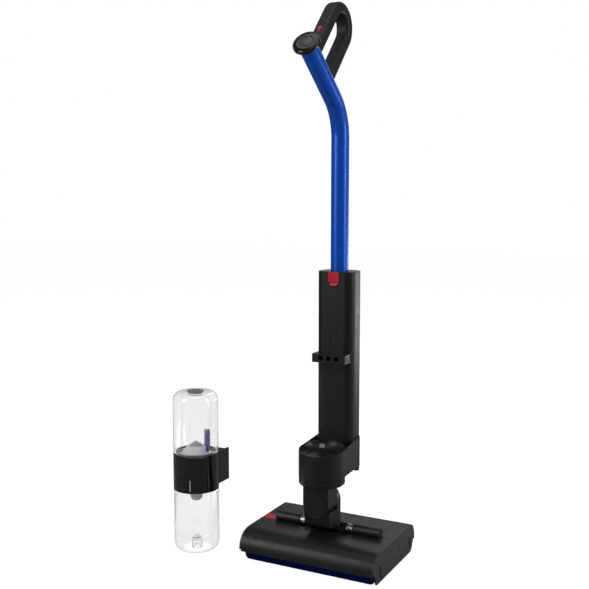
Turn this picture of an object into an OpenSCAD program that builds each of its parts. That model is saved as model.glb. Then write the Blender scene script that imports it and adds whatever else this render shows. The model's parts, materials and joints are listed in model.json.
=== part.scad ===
// Cordless upright wet floor cleaner with its twin water tank standing beside it.
// Machine frame: X to the machine's right, -Y forwards, +Z up, floor at z = 0, head centred on X and Y.

/* [Cleaner head] */
// Width over both end plates
head_w = 300; // [280:1:320]
// Height of the head's flat top above the floor
head_h = 65; // [60:0.5:72]
// Radius of a roller over its pile
roller_r = 26; // [24:0.5:27]
// Distance of each roller's axis from the middle of the head
roller_y = 84; // [82:0.5:84.5]
// Thickness of the head's covers
cover_t = 2.4; // [1.8:0.1:3]

/* [Neck] */
// Height of the recline axis
hinge_z = 72; // [71:0.5:74]
// Forward or rearward place of the recline axis
hinge_y = -6; // [-8:0.5:-4]
// Height of the sideways swivel axis
swivel_z = 129.5; // [126:0.5:133]
// Half the width of the neck
neck_hw = 28.5; // [26:0.5:30]

/* [Tank seat and tower] */
// Outer radius of the round tank seat
seat_r = 48; // [46:0.5:50]
// Height of the seat's floor
seat_floor = 228; // [224:1:232]
// Half the width of the tower
tower_hw = 41.5; // [40:0.5:43]
// Height of the tower's top
tower_top = 599; // [580:1:620]

/* [Wand and handle] */
// Outer radius of the wand tube
tube_r = 18.5; // [17:0.5:19]
// Height at which the wand's two straight runs would meet
bend_z = 919; // [900:1:940]
// Lean of the wand's upper run from the vertical
lean = 52; // [45:1:58]
// Length of the upper run up to the face of the display
upper_run = 200; // [190:1:215]
// Width of the loop handle's grip
grip_w = 30; // [26:1:32]
// Thickness of the loop handle's grip
grip_t = 23.5; // [20:0.5:25]

/* [Water tank] */
// Outer radius of both tanks
tank_r = 48; // [46:0.5:48]
// Height of the clean tank's top above the floor
tank_h = 343; // [330:1:350]
// Sideways place of the standing tank in the machine frame
tank_x = -271.5; // [-300:0.5:-255]
// Forward place of the standing tank in the machine frame
tank_y = -86; // [-90:0.5:-84]

/* [Hidden] */
$fn = 72;

gap = 0.3;      // between bodies that move past each other
fit = 0.05;     // radial clearance of a shaft in its hole
screw_r = 2.6;
screw_head = 0.4;      // how proud a screw stands
screw_sunk = 1.4;
mark_d = 1.6;
latch_proud = 1;
band_proud = 0.4;

// Head section, seen from the right: flat top, squarish quarter curves to the front and rear edges.
front_c = [-66, 24];
front_a = 47;
rear_c = [82, 24];
rear_a = 32;
square = 0.8;
head_e = head_w / 2 - 4;       // inner face of each end plate
wall_x = head_e - 4;           // inner face of each chassis side wall
roll_end = wall_x - 2;
seam_y = -7;
brush_c = [48, 18];
brush_r = 10.4;
barrel_r = 11;
right_barrel = [61, 121];
left_barrel = [-115.5, -60];
shaft_r = 8;
shaft_x = [-111, 116];
bearing_r = 8;
screw_at = [[-70, 12], [70, 12], [24, 40]];
ear_x = [32, 46];
deck_z = 36;
tray_hw = 33;

// Tower section
tower_y = [22, 84];
tower_c = (tower_y[0] + tower_y[1]) / 2;
tower_front_r = 19;
tower_back_r = 26;
tower_base = 190;
wall = 2.5;
tube_y = 50;

seat_y = -31;
seam_z = 185;
neck_front = -61;
neck_back = -18;
ring_z = 168;           // underside of the seat's lower ring

// Wand bend
bend_r = 100;
bend_t = bend_r * tan(lean / 2);
tube_wall = 1.6;
tube_foot = 512;
bend_lap = 0.01;
bend_swell = 0.1;

// Loop handle: two parallel strands joined by a half turn
strand_tilt = 43.4;
loop_c = [31.5, 1089.9];
loop_r = 36;
grip_r = 8;
button_h = [-63.5, -73.5];     // places of the buttons along the strand, from the half turn's centre

// Tank, in its own frame
band_z = [134, 211];
neck_r = 45.2;
mouth_z = 138.2;        // top of the dirty tank's mouth, below the latch
shell_t = 2.2;
pocket_hw = 37.6;
foot_r = 18;
well_r = 8.8;      // well in the dirty tank's foot for the docking post
well_h = 23;
nozzle_z = 193;
port_z = 422;
port_pitch = 17.5;
port_hw = 37.2;

// The whole model is moved so that its bounding box stands centred on the origin.
low_x = tank_x - tank_r - band_proud;
low_y = tank_y - tank_r - latch_proud;
shift = [-(low_x + head_w / 2 + screw_head) / 2, -(low_y + rear_c[0] + rear_a) / 2, 0];

function arc(c, r, a0, a1, n) =
    [for (i = [0 : n]) let (a = a0 + (a1 - a0) * i / n) [c[0] + r * cos(a), c[1] + r * sin(a)]];
function quarter(c, a, b, t0, t1, n) =
    [for (i = [0 : n]) let (t = t0 + (t1 - t0) * i / n)
        [c[0] + sign(cos(t)) * a * pow(abs(cos(t)), square), c[1] + b * pow(abs(sin(t)), square)]];
function head_curve(t, low) = concat(
    quarter(front_c, front_a - t, head_h - 24 - t, 180 - low, 90, 16),
    quarter(rear_c, rear_a - t, head_h - 24 - t, 90, low, 16));
function plate_outline(t) = concat(
    [[-95.5 + t, 4.5 + t], [-105 + t, 27], [-111 + t, 27]],
    head_curve(t, 4),
    [[112 - t, 27], [106 - t, 27], [98.6 - t, 9.4], [90.3 - t, 4.5 + t]]);

module place() { translate(shift) children(); }
module along_x(x0, x1) { translate([x0, 0, 0]) rotate([90, 0, 90]) linear_extrude(x1 - x0) children(); }
module along_y(y0, y1) { translate([0, y1, 0]) rotate([90, 0, 0]) linear_extrude(y1 - y0) children(); }
module rod_x(y, z, r, x0, x1) { translate([x0, y, z]) rotate([0, 90, 0]) cylinder(r = r, h = x1 - x0); }
module block(x, y, z) {
    translate([x[0], y[0], z[0]]) cube([x[1] - x[0], y[1] - y[0], z[1] - z[0]]);
}
module round_rect(w, d, r) {
    square([w, d - 2 * r], center = true);
    square([w - 2 * r, d], center = true);
    for (sx = [-1, 1], sy = [-1, 1]) translate([sx * (w / 2 - r), sy * (d / 2 - r)]) circle(r);
}

// ---------------------------------------------------------------- cleaner head

module head_shell() {
    difference() {
        along_x(-head_e, head_e) difference() {
            polygon(concat([[front_c[0] - front_a, 24]], head_curve(0, 1), [[rear_c[0] + rear_a, 24]]));
            polygon(concat([[front_c[0] - front_a + cover_t, 23]], head_curve(cover_t, 1),
                [[rear_c[0] + rear_a - cover_t, 23]]));
        }
        for (x = [left_barrel, right_barrel]) {
            rod_x(hinge_y, hinge_z, barrel_r + 0.4, x[0] - 1, x[1] + 1);
        }
        rod_x(hinge_y, hinge_z, shaft_r + 0.5, left_barrel[1], right_barrel[0]);
        block([-54, 54], [-25, 16], [40, 80]);
        block([-151, left_barrel[0]], [-13.5, 9.5], [40, 80]);
    }
}
module front_cover() {
    color([0.09, 0.09, 0.095]) difference() {
        head_shell();
        block([-160, 160], [seam_y - 0.2, 130], [0, 90]);
    }
}
module rear_cover() {
    color([0.1, 0.1, 0.105]) difference() {
        head_shell();
        block([-160, 160], [-130, seam_y + 0.2], [0, 90]);
    }
}
// Right-hand plate, with a shallow oblong finger mark at each end and counterbores for its screws
module end_plate() {
    face = head_w / 2;
    difference() {
        along_x(head_e + 0.1, face) polygon(plate_outline(0));
        for (y = [-80, 84]) {
            for (z = [20, 32]) rod_x(y, z, 6, face - mark_d, face + 1);
            block([face - mark_d, face + 1], [y - 6, y + 6], [20, 32]);
        }
        for (at = screw_at) rod_x(at[0], at[1], screw_r + 0.1, face - screw_sunk, face + 1);
    }
}
module end_plate_left() {
    color([0.2, 0.2, 0.21]) difference() {
        mirror([1, 0, 0]) end_plate();
        tray_way();
        block([-151, -140], [-13.5, 9.5], [50, 80]);
        along_x(-151, -140) polygon([[-120, -1], [-76, -1], [-76, 4.6], [-88, 18], [-104, 26.9], [-120, 26.9]]);
    }
}
module end_plate_right() { color([0.3, 0.3, 0.31]) end_plate(); }
// Way through the left side for the debris tray
module tray_way() { block([-160, -140], [-tray_hw - 1.5, tray_hw + 1.5], [5.5, 31.5]); }

module side_wall() {
    difference() {
        along_x(wall_x, wall_x + 3.9) polygon(plate_outline(cover_t + 0.4));
        for (s = [-1, 1]) rod_x(s * brush_c[0], brush_c[1], 3 + fit, wall_x - 1, wall_x + 5);
    }
}
module left_side_wall() {
    difference() {
        mirror([1, 0, 0]) side_wall();
        for (s = [-1, 1]) rod_x(s * roller_y, roller_r, bearing_r, -wall_x - 5, -wall_x + 1);
        tray_way();
        block([-160, left_barrel[0]], [-14, 10], [52, 80]);
        along_x(-151, -140) polygon([[-120, -1], [-76, -1], [-76, 4.6], [-95, 16], [-104, 26.9], [-120, 26.9]]);
    }
}
module chassis() {
    color([0.07, 0.07, 0.075]) difference() {
        union() {
            left_side_wall();
            side_wall();
            block([-wall_x - 0.1, wall_x + 0.1], [-56, 56], [deck_z, deck_z + 3]);
            block([-wall_x - 3.9, wall_x + 3.9], [-36, 36], [3, 5]);
            for (s = [0, 1]) mirror([s, 0, 0]) {
                block([wall_x, wall_x + 3.9], [-36, 36], [3, 12]);
                block(ear_x, [hinge_y - barrel_r, hinge_y + barrel_r], [deck_z + 2, hinge_z]);
                rod_x(hinge_y, hinge_z, barrel_r, ear_x[0], ear_x[1]);
            }
            for (y = [-46, 46]) block([-wall_x, wall_x], [y - 1.2, y + 1.2], [deck_z + 2, 60]);
        }
        rod_x(hinge_y, hinge_z, shaft_r + fit, -60, 60);
        tray_way();
    }
}
// Closed at the outer end; its foot stands on the deck under the cover.
module barrel(x) {
    difference() {
        union() {
            rod_x(hinge_y, hinge_z, barrel_r, x[0], x[1]);
            block([x[0] + 10, x[1] - 10], [hinge_y - 4, hinge_y + 4], [deck_z + 3, hinge_z - 6]);
        }
        rod_x(hinge_y, hinge_z, shaft_r + fit, shaft_x[0] - 0.5, shaft_x[1] + 0.5);
    }
}
module barrel_left() { color([0.11, 0.11, 0.115]) barrel(left_barrel); }
module barrel_right() { color([0.11, 0.11, 0.115]) barrel(right_barrel); }

module shaft_clips() {
    color([0.55, 0.56, 0.58]) for (s = [-1, 1]) {
        difference() {
            x = s > 0 ? [47, 53] : [-53, -47];
            union() {
                rod_x(hinge_y, hinge_z, 10.4, x[0], x[1]);
                block(s > 0 ? [34, 53] : [-53, -34], [5.2, 14.5], [64.5, 67]);
                block(x, [hinge_y, 14.5], [64.5, 67]);
            }
            rod_x(hinge_y, hinge_z, shaft_r + fit, -60, 60);
        }
    }
}

module roller_core(s) {
    difference() {
        union() {
            difference() {
                rod_x(s * roller_y, roller_r, 19, -roll_end, roll_end);
                rod_x(s * roller_y, roller_r, 17, -roll_end + 6, roll_end + 1);
            }
            rod_x(s * roller_y, roller_r, 17.5, 30, 36);
            rod_x(s * roller_y, roller_r, 9, -roll_end - 1.6, -roll_end + 1);
            rod_x(s * roller_y, roller_r, 4, -head_e + 0.6, -roll_end);
        }
        rod_x(s * roller_y, roller_r, 3 + fit, 29, 37);
    }
}
module roller_sleeve(s) {
    difference() {
        rod_x(s * roller_y, roller_r, roller_r, -roll_end + 1, roll_end - 1);
        rod_x(s * roller_y, roller_r, 19, -roll_end, roll_end);
    }
}
module roller_motor(s) {
    rod_x(s * roller_y, roller_r, 14, 48, wall_x);
    rod_x(s * roller_y, roller_r, 3, 28, 49);
}
module front_roller_core() { color([0.3, 0.3, 0.32]) roller_core(-1); }
module rear_roller_core() { color([0.3, 0.3, 0.32]) roller_core(1); }
module front_roller_sleeve() { color([0.03, 0.05, 0.42]) roller_sleeve(-1); }
module rear_roller_sleeve() { color([0.03, 0.05, 0.42]) roller_sleeve(1); }
module front_roller_motor() { color([0.6, 0.6, 0.62]) roller_motor(-1); }
module rear_roller_motor() { color([0.6, 0.6, 0.62]) roller_motor(1); }
module roller_bearings() {
    color([0.7, 0.7, 0.72]) for (s = [-1, 1]) {
        difference() {
            rod_x(s * roller_y, roller_r, 7.98, -head_e + 0.2, -wall_x);
            rod_x(s * roller_y, roller_r, 4 + fit, -head_e, -wall_x + 1);
        }
    }
}

module brush_bar(s) {
    rod_x(s * brush_c[0], brush_c[1], 5.4, -roll_end + 1, roll_end);
    rod_x(s * brush_c[0], brush_c[1], 4.5, -roll_end - 1.6, -roll_end + 2);
    rod_x(s * brush_c[0], brush_c[1], 3, -head_e + 0.4, head_e - 0.4);
    translate([0, s * brush_c[0], brush_c[1]]) along_x(-roll_end + 6, roll_end - 4) {
        for (i = [0 : 5]) rotate(60 * i) translate([4, -1]) square([brush_r - 4, 2]);
    }
}
module front_brush_bar() { color([0.16, 0.16, 0.2]) brush_bar(-1); }
module rear_brush_bar() { color([0.16, 0.16, 0.2]) brush_bar(1); }

// Each belt runs round a pulley on the roller and one half its size on the brush bar.
module belt_loop(grow) {
    hull() {
        translate([roller_y, roller_r]) circle(9 + grow, $fn = 32);
        translate([brush_c[0], brush_c[1]]) circle(4.5 + grow, $fn = 32);
    }
}
module drive_belts() {
    color([0.05, 0.05, 0.05]) for (s = [0, 1]) {
        mirror([0, s, 0]) along_x(-roll_end - 1.6, -roll_end - 0.4) difference() {
            belt_loop(1.5);
            belt_loop(gap);
        }
    }
}
module water_bars() {
    color([0.25, 0.25, 0.27]) for (s = [-1, 1]) {
        difference() {
            block([-wall_x, wall_x], s > 0 ? [68, 78] : [-78, -68], [55, 60]);
            for (i = [-6 : 6]) translate([20 * i, s * 74, 50]) cylinder(r = 1, h = 8, $fn = 24);
        }
    }
}
module scrapers() {
    color([0.45, 0.46, 0.48]) for (s = [0, 1]) {
        mirror([0, s, 0]) along_x(-wall_x, wall_x)
            polygon([[47.4, 39], [56, 39], [63.2, 42.4], [63.2, 44], [56, 43], [47.4, 43]]);
    }
}
module debris_tray() {
    color([0.2, 0.2, 0.22]) difference() {
        union() {
            block([-wall_x + 1, 134], [-tray_hw, tray_hw], [6, 28]);
            block([-head_w / 2, -wall_x + 2], [-tray_hw - 1, tray_hw + 1], [6, 31]);
        }
        block([-wall_x + 4, 132], [-tray_hw + 1.8, tray_hw - 1.8], [8, 40]);
        block([-head_w / 2 - 1, -head_w / 2 + 5], [-16, 16], [10, 20]);
    }
}
module tray_mesh() {
    color([0.6, 0.6, 0.62]) difference() {
        block([-wall_x + 4, 132], [-tray_hw + 1.8, tray_hw - 1.8], [13, 14]);
        for (i = [0 : 24], j = [-1, 1]) {
            translate([-132 + 10.6 * i, j * 15 - 12.5, 12]) cube([6, 25, 3]);
        }
    }
}
module tray_release() {
    color([0.75, 0.08, 0.12]) {
        block([-head_w / 2 + 0.4, left_barrel[0] - 0.8], [-13, 9], [61, head_h + 0.6]);
        block([-138, -128], [-9, 5], [56, 62]);
    }
}
module head_screws() {
    color([0.62, 0.63, 0.65]) for (s = [0, 1], at = screw_at) {
        mirror([s, 0, 0]) rod_x(at[0], at[1], screw_r, head_w / 2 - screw_sunk, head_w / 2 + screw_head);
    }
}

// ---------------------------------------------------------------- neck

// Round-bottomed seat that the upper neck turns in
module lower_yoke() {
    color([0.1, 0.1, 0.105]) difference() {
        union() {
            along_x(-neck_hw, neck_hw) polygon([
                [neck_front + 9, 85], [neck_front + 14, 79], [hinge_y - 12, 75], [hinge_y - 4, 62.5],
                [hinge_y + 4, 62.5], [0, 70], [0, 113], [neck_front + 4, 113]]);
            along_y(neck_back + 0.5, 0) translate([0, swivel_z]) circle(neck_hw);
            block([-neck_hw, neck_hw], [neck_back + 0.5, 0], [100, swivel_z]);
            rod_x(hinge_y, hinge_z, 12, -neck_hw, neck_hw);
        }
        along_y(neck_front - 1, neck_back + 0.5) translate([0, swivel_z]) circle(neck_hw + gap);
        rod_x(hinge_y, hinge_z, shaft_r, -neck_hw - 1, neck_hw + 1);
        along_y(neck_back, 1) translate([0, swivel_z]) circle(8);
    }
}
module hinge_shaft() { color([0.5, 0.5, 0.52]) rod_x(hinge_y, hinge_z, shaft_r, shaft_x[0], shaft_x[1]); }
module swivel_pin() {
    color([0.5, 0.5, 0.52]) {
        along_y(-44, 0) translate([0, swivel_z]) circle(8);
        along_y(0, 1.5) translate([0, swivel_z]) circle(13);
    }
}
module upper_neck() {
    color([0.1, 0.1, 0.105]) difference() {
        union() {
            along_y(neck_front, neck_back) translate([0, swivel_z]) circle(neck_hw);
            block([-neck_hw, neck_hw], [neck_front, neck_back], [swivel_z, ring_z]);
        }
        along_y(-44.5, neck_back + 1) translate([0, swivel_z]) circle(8 + fit);
        along_y(neck_front - 1, neck_front + 1) translate([0, swivel_z]) circle(24.3);
    }
}
module neck_disc() {
    color([0.12, 0.12, 0.125]) along_y(neck_front - 0.8, neck_front + 1) translate([0, swivel_z]) circle(24);
}

// ---------------------------------------------------------------- tank seat and tower

module tower_section(grow) {
    x = tower_hw + grow;
    fr = tower_front_r + grow;
    br = tower_back_r + grow;
    y0 = tower_y[0] - grow;
    y1 = tower_y[1] + grow;
    polygon(concat(arc([-x + fr, y0 + fr], fr, 180, 270, 14), arc([x - fr, y0 + fr], fr, 270, 360, 14),
        arc([x - br, y1 - br], br, 0, 90, 18), arc([-x + br, y1 - br], br, 90, 180, 18)));
}
module seat_section(inset) {
    a = 8;
    polygon(concat(arc([0, seat_y], seat_r - inset, 180 - a, 360 + a, 72),
        [[44.5 - inset, 50], [-44.5 + inset, 50]]));
}
// Bowl that takes the tank's rounded foot, with an open pocket each side between it and the tower
module seat_dish() {
    reach = foot_r + 0.15;
    translate([0, seat_y, seat_floor]) rotate_extrude() polygon(concat([[0, foot_r - reach]],
        arc([tank_r - foot_r, foot_r], reach, 270, 360, 14), [[tank_r - foot_r + reach, 30], [0, 30]]));
    translate([0, 0, seat_floor]) linear_extrude(60) difference() {
        intersection() {
            seat_section(2.6);
            translate([-60, seat_y + 14]) square([120, 100]);
        }
        translate([0, seat_y]) circle(seat_r + 1.6);
        tower_section(2.8);
    }
}
module seat_ring() {
    color([0.1, 0.1, 0.105]) translate([0, seat_y, 0]) difference() {
        union() {
            translate([0, 0, ring_z]) cylinder(r1 = seat_r - 3, r2 = seat_r - 0.4, h = 2.6);
            translate([0, 0, ring_z + 2.6]) cylinder(r = seat_r - 0.4, h = seam_z - 0.8 - ring_z - 2.6);
            translate([0, 0, seam_z - 5]) cylinder(r = seat_r - 1.6, h = 5);
        }
        translate([0, 8, ring_z - 1]) cylinder(r = 14, h = 20);
    }
}
module seat_body() {
    color([0.085, 0.085, 0.09]) difference() {
        union() {
            translate([0, 0, seam_z]) linear_extrude(70) seat_section(0);
            translate([0, 0, seam_z]) linear_extrude(70) intersection() {
                tower_section(2.8);
                translate([-60, 0]) square([120, 62]);
            }
        }
        seat_dish();
        translate([0, 0, tower_base - 0.1]) linear_extrude(80) tower_section(0.1);
        translate([0, seat_y - seat_r, 235.5]) rotate([6, 0, 0]) translate([-80, -40, 0]) cube([160, 200, 60]);
        translate([0, seat_y, seam_z - 1]) cylinder(r = 30, h = 24);
        translate([0, seat_y, seat_floor - 2.5]) difference() {
            cylinder(r = 33, h = 5);
            translate([0, 0, -1]) cylinder(r = 31.6, h = 7);
        }
    }
}
module docking_post() {
    color([0.05, 0.05, 0.05]) translate([0, seat_y, 0]) {
        translate([0, 0, seat_floor]) cylinder(r = 7.5, h = 2);
        translate([0, 0, seat_floor + 2]) cylinder(r = 6, h = 5);
        translate([0, 0, seat_floor + 7]) cylinder(r = 4.4, h = 8.5);
    }
}
// Sprung cap that slides down over the post and opens the tank's valve
module post_tip() {
    color([0.85, 0.86, 0.87]) translate([0, seat_y, seat_floor + 15]) difference() {
        cylinder(r = 5.5, h = 6);
        translate([0, 0, -1]) cylinder(r = 4.4 + gap, h = 6.4);
        cylinder(r = 2.4, h = 7);
    }
}
module tower_shell() {
    color([0.07, 0.07, 0.075]) difference() {
        translate([0, 0, tower_base]) linear_extrude(tower_top - 3 - tower_base) tower_section(0);
        translate([0, 0, tower_base + 3]) linear_extrude(tower_top) tower_section(-wall);
        for (z = [383.5, 464]) {
            for (dz = [-9, 9]) {
                translate([0, tower_y[0] + 0.9, z + dz]) rotate([90, 0, 0]) cylinder(r = 8.5, h = 3);
            }
            block([-8.5, 8.5], [tower_y[0] - 1, tower_y[0] + 0.9], [z - 9, z + 9]);
        }
        block([-30, 30], [tower_y[0] - 1, tower_y[0] + wall + 1], [414, 429]);
        catch_window(0.4);
    }
}
module catch_window(grow) {
    y = [tower_y[0] - 3, tower_y[0] + wall + 2];
    block([-12.4 - grow, 12.4 + grow], y, [578, 605]);
    translate([0, y[1], 0]) rotate([90, 0, 0]) intersection() {
        translate([0, 581.4, 0]) cylinder(r = 12.4 + grow, h = y[1] - y[0]);
        translate([-20, 560, -1]) cube([40, 21, 30]);
    }
}
module tower_cap() {
    color([0.08, 0.08, 0.085]) difference() {
        union() {
            translate([0, 0, tower_top - 3]) linear_extrude(3) tower_section(0);
            translate([0, 0, tower_top - 9]) linear_extrude(6.2) tower_section(-wall - 0.2);
        }
        translate([0, tube_y, tower_top - 20]) cylinder(r = 22.4, h = 16.8);
        translate([0, tube_y, tower_top - 10]) cylinder(r = tube_r + gap, h = 20);
        block([-13, 13], [tower_y[0] - 1, tower_y[0] + 8], [560, 620]);
    }
}
module wand_socket() {
    color([0.15, 0.15, 0.16]) translate([0, tube_y, 0]) difference() {
        translate([0, 0, 500]) cylinder(r = 21, h = tower_top - 4 - 500);
        translate([0, 0, 504]) cylinder(r = tube_r + gap, h = 120);
    }
}
module wand_catch() {
    color([0.82, 0.1, 0.16]) difference() {
        union() {
            translate([0, tower_y[0] + 3.2, 0]) rotate([90, 0, 0]) intersection() {
                translate([0, 581.4, 0]) cylinder(r = 12, h = 5.2);
                translate([-20, 560, -1]) cube([40, 21.4, 30]);
            }
            block([-12, 12], [tower_y[0] - 2, tower_y[0] + 3.2], [581, tower_top - 0.4]);
        }
        translate([0, tower_y[0] - 5.2, 575]) rotate([0, 90, 0]) cylinder(r = 4.4, h = 40, center = true);
    }
}
module rear_housing() {
    color([0.12, 0.12, 0.125]) difference() {
        translate([0, 0, 168]) linear_extrude(54) intersection() {
            tower_section(7);
            translate([-33, 66]) square([66, 40]);
        }
        translate([0, 0, tower_base - 0.1]) linear_extrude(80) tower_section(0.1);
        translate([0, 40, 150]) rotate([35, 0, 0]) translate([-60, -60, -20]) cube([120, 100, 28]);
        for (s = [-1, 1]) translate([s * 9, 96, 186]) rotate([90, 0, 0]) cylinder(r = 3, h = 7);
    }
}
module port_block() {
    color([0.09, 0.09, 0.095]) difference() {
        block([-port_hw, port_hw], [-3, 34], [412.5, 430.5]);
        translate([0, 0, 400]) linear_extrude(50) tower_section(0.1);
        for (i = [-1 : 1]) {
            translate([port_pitch * i, 12, port_z]) rotate([90, 0, 0]) cylinder(r = 5.7, h = 20);
        }
        for (s = [0, 1]) mirror([s, 0, 0]) block([port_hw - 1.2, 40], [2, 28], [415, 428]);
    }
}
module port_seals() {
    color([0.04, 0.04, 0.04]) for (i = [-1 : 1]) {
        translate([port_pitch * i, 2, port_z]) rotate([90, 0, 0]) difference() {
            cylinder(r = 5.7, h = 2);
            translate([0, 0, -1]) cylinder(r = 4.7, h = 4);
        }
    }
}
module battery_pack() {
    color([0.15, 0.3, 0.55]) translate([0, 56, 200]) linear_extrude(200) {
        for (x = [-18, 0, 18], y = [-9.5, 9.5]) translate([x, y]) circle(9.2);
        square([38, 20], center = true);
    }
}
module water_pump() {
    color([0.3, 0.3, 0.33]) translate([-16, 54, 0]) {
        translate([0, 0, 408]) cylinder(r = 13, h = 30);
        translate([0, 0, 438]) cylinder(r = 10, h = 22);
    }
}
module waste_pump() {
    color([0.33, 0.33, 0.36]) translate([16, 54, 0]) {
        translate([0, 0, 408]) cylinder(r = 14, h = 40);
        translate([0, 0, 448]) cylinder(r = 9, h = 26);
    }
}
module main_board() {
    color([0.05, 0.3, 0.14]) {
        block([-28, 28], [30, 31.6], [210, 390]);
        for (z = [230, 270, 320]) block([-12, 12], [28, 30], [z, z + 16]);
    }
}

// ---------------------------------------------------------------- wand and handle

module lean_frame() { translate([0, tube_y, bend_z]) rotate([lean, 0, 0]) children(); }
module tube_solid(r) {
    translate([0, tube_y, tube_foot]) cylinder(r = r, h = bend_z - bend_t - tube_foot);
    translate([0, tube_y - bend_r, bend_z - bend_t]) rotate([90, 0, 90]) rotate_extrude(angle = lean)
        translate([bend_r, 0]) circle(r);
    lean_frame() translate([0, 0, bend_t]) cylinder(r = r, h = upper_run - 10 - bend_t);
}
module tube_ring(grow) {
    difference() {
        circle(tube_r + grow);
        circle(tube_r - tube_wall - grow);
    }
}
// The bend's wall is a little thicker than the straight runs', which just lap it at both ends.
module wand_tube() {
    color([0.06, 0.16, 0.75]) {
        translate([0, tube_y, tube_foot]) linear_extrude(bend_z - bend_t - tube_foot + bend_lap) tube_ring(0);
        translate([0, tube_y - bend_r, bend_z - bend_t]) rotate([90, 0, 90]) rotate_extrude(angle = lean)
            translate([bend_r, 0]) tube_ring(bend_swell);
        lean_frame() translate([0, 0, bend_t - bend_lap]) linear_extrude(upper_run - 10 - bend_t + bend_lap)
            tube_ring(0);
    }
}
module wand_spigot() {
    color([0.1, 0.1, 0.1]) translate([0, tube_y, 0]) {
        translate([0, 0, 507]) cylinder(r = tube_r - 0.5, h = 5);
        translate([0, 0, 512]) cylinder(r = tube_r - tube_wall - 0.1, h = 30);
    }
}
// Frame of the loop handle: z runs along the strands, -y towards the front strand.
module loop_frame() { translate([0, loop_c[0], loop_c[1]]) rotate([-strand_tilt, 0, 0]) children(); }
module strand(side, len) {
    translate([0, side * loop_r, -len]) linear_extrude(len) round_rect(grip_w, grip_t, grip_r);
}
module handle_loop() {
    color([0.06, 0.06, 0.065]) difference() {
        loop_frame() {
            strand(-1, 126);
            strand(1, 120);
            rotate([90, 0, 90]) rotate_extrude(angle = 180) translate([loop_r, 0]) rotate(90)
                round_rect(grip_w, grip_t, grip_r);
        }
        tube_solid(tube_r);
        lean_frame() translate([0, 0, upper_run - 12]) cylinder(r = 27.6, h = 12);
        loop_frame() {
            translate([0, -loop_r, -94]) linear_extrude(50) round_rect(18, 8, 2);
            for (i = [0, 1]) {
                translate([0, -loop_r - 2, button_h[i]]) rotate([90, 0, 0]) cylinder(r = i == 0 ? 5.8 : 3.8, h = 12);
            }
        }
    }
}
module button(i, r) {
    loop_frame() translate([0, -loop_r - 1.4, button_h[i]]) rotate([90, 0, 0]) cylinder(r = r, h = grip_t / 2 - 0.6);
}
module power_button() { color([0.7, 0.05, 0.1]) button(0, 5.4); }
module mode_button() { color([0.1, 0.45, 0.45]) button(1, 3.4); }
module handle_board() {
    color([0.05, 0.3, 0.14]) loop_frame() translate([-8, -loop_r + 2.2, -93]) cube([16, 1.4, 48]);
}
module display_housing() {
    color([0.03, 0.03, 0.032]) lean_frame() translate([0, 0, upper_run - 10]) {
        difference() {
            rotate_extrude() polygon(concat([[0, 0]], [[24, 0]], arc([24, 3.5], 3.5, 270, 360, 6),
                arc([25.5, 8], 2, 0, 90, 6), [[0, 10]]));
            translate([0, 0, 9]) cylinder(r = 24.5, h = 3);
        }
        translate([0, 0, -22]) cylinder(r = tube_r - tube_wall - 0.1, h = 22);
    }
}
module display_lens() {
    color([0.02, 0.02, 0.022]) lean_frame() translate([0, 0, upper_run - 1]) difference() {
        cylinder(r = 24.4, h = 1.2);
        translate([0, 0, 0.4]) cylinder(r = 14, h = 2);
    }
}
module display_screen() {
    color([0.36, 0.37, 0.39]) lean_frame() translate([0, 0, upper_run - 0.6]) cylinder(r = 13.9, h = 0.7);
}

// ---------------------------------------------------------------- water tank

module at_tank() { translate([tank_x, tank_y, 0]) children(); }
// Open-mouthed round shell with a rounded closed end; z runs from the closed end to the mouth.
function can_outer(h, r) = concat([[0, 0]], [[tank_r - r, 0]], arc([tank_r - r, r], r, 270, 360, 10), [[tank_r, h]]);
module dirty_tank() {
    mouth = band_z[0] - 0.4;
    color([0.85, 0.87, 0.88, 0.35]) at_tank() rotate_extrude($fn = 96) difference() {
        polygon(concat(can_outer(mouth, foot_r), [[neck_r, mouth], [neck_r, mouth_z], [0, mouth_z]]));
        difference() {
            polygon(concat([[0, shell_t], [tank_r - foot_r, shell_t]],
                arc([tank_r - foot_r, foot_r], foot_r - shell_t, 270, 360, 10),
                [[tank_r - shell_t, mouth - 7.6], [neck_r - shell_t, mouth - 2.6], [neck_r - shell_t, 151], [0, 151]]));
            square([well_r + 2, well_h + 2]);
        }
        translate([-1, -1]) square([well_r + 1, well_h + 1]);
    }
}
module clean_tank() {
    color([0.87, 0.89, 0.9, 0.35]) at_tank() translate([0, 0, tank_h]) mirror([0, 0, 1]) rotate_extrude($fn = 96) {
        difference() {
            polygon(concat(can_outer(tank_h - band_z[1] - 0.4, 17),
                [[neck_r, tank_h - band_z[1] - 0.4], [neck_r, tank_h - 205], [0, tank_h - 205]]));
            polygon(concat([[0, shell_t], [tank_r - 17, shell_t]], arc([tank_r - 17, 17], 17 - shell_t, 270, 360, 10),
                [[tank_r - shell_t, tank_h - band_z[1] - 8], [neck_r - shell_t, tank_h - band_z[1] - 3],
                    [neck_r - shell_t, tank_h - 204], [0, tank_h - 204]]));
            translate([-1, -1]) square([16.2, 5]);
        }
    }
}
module top_disc() {
    color([0.35, 0.35, 0.37]) at_tank() {
        translate([0, 0, tank_h]) cylinder(r1 = 18, r2 = 17.4, h = 1);
        translate([0, 0, tank_h - 6]) cylinder(r = 15, h = 6);
    }
}
module bracket_section(grow) { translate([-44 + grow, 0]) square([88 - 2 * grow, 62]); }
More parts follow.
